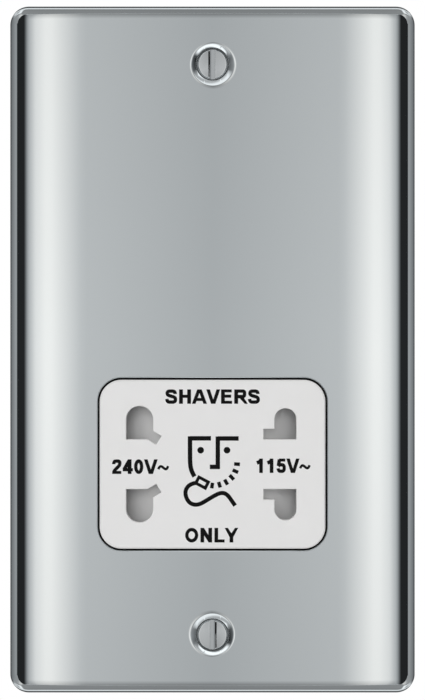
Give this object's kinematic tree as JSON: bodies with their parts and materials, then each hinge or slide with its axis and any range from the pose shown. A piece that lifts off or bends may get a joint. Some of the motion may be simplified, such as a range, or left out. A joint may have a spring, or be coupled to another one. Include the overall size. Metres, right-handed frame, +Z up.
{
  "type": "shaver socket",
  "caption": "Dual-voltage shaver socket on a tall polished plate: flush white face with plug slots, sprung shutter behind them and an isolating transformer in a rear housing.",
  "frame": {"origin": "middle of the two fixing screws, in the plane of the wall", "axes": "+X to the right seen from the front, +Y into the wall, +Z up; the front looks along -Y"},
  "size_m": [0.086, 0.0487, 0.146],
  "materials": {
    "chrome_plate": "polished chrome on pressed steel",
    "chrome_screw": "bright plated steel",
    "face_white": "moulded, semi-gloss white",
    "shutter_grey": "moulded, matte grey",
    "moulding_white": "moulded, matte off-white",
    "moulding_grey": "moulded, matte dark grey",
    "contact_brass": "stamped strip",
    "terminal_brass": "turned and milled",
    "plated_steel": "zinc plated",
    "spring_steel": "folded spring strip",
    "core_steel": "stacked laminations",
    "bobbin_nylon": "moulded nylon",
    "winding_copper": "enamelled copper wire",
    "cutout_black": "moulded phenolic",
    "lead_brown": "wire insulation",
    "lead_blue": "wire insulation",
    "lead_red": "wire insulation",
    "lead_black": "wire insulation"
  },
  "bodies": {
    "unit": {"front_plate": "chrome_plate", "plate_liner": "moulding_white", "socket_face": "face_white", "fixing_screws": "chrome_screw", "shutter_spring_left": "spring_steel", "shutter_spring_right": "spring_steel", "contact_carrier": "moulding_grey", "contact_240": "contact_brass", "contact_115": "contact_brass", "contact_common": "contact_brass", "switch_line_strip": "contact_brass", "switch_load_strip": "contact_brass", "core_laminations": "core_steel", "coil_bobbin": "bobbin_nylon", "primary_winding": "winding_copper", "secondary_winding": "winding_copper", "thermal_cutout": "cutout_black", "rear_housing": "moulding_white", "housing_screws": "plated_steel", "terminal_live": "terminal_brass", "terminal_neutral": "terminal_brass", "terminal_earth": "terminal_brass", "terminal_screws": "plated_steel", "earth_strap": "contact_brass", "lead_live": "lead_brown", "lead_neutral": "lead_blue", "lead_switched": "lead_brown", "lead_240": "lead_red", "lead_115": "lead_red", "lead_common": "lead_black"},
    "shutter": {"shutter_slide": "shutter_grey", "switch_bridge": "contact_brass"}
  },
  "joints": [
    {"name": "shutter_travel", "type": "slide", "parent": "unit", "child": "shutter", "axis": [1, 0, 0], "range_m": [-0.0082, 0.0082], "stiffness_N_per_m": 300, "deforming": ["shutter_spring_left", "shutter_spring_right"]}
  ]
}
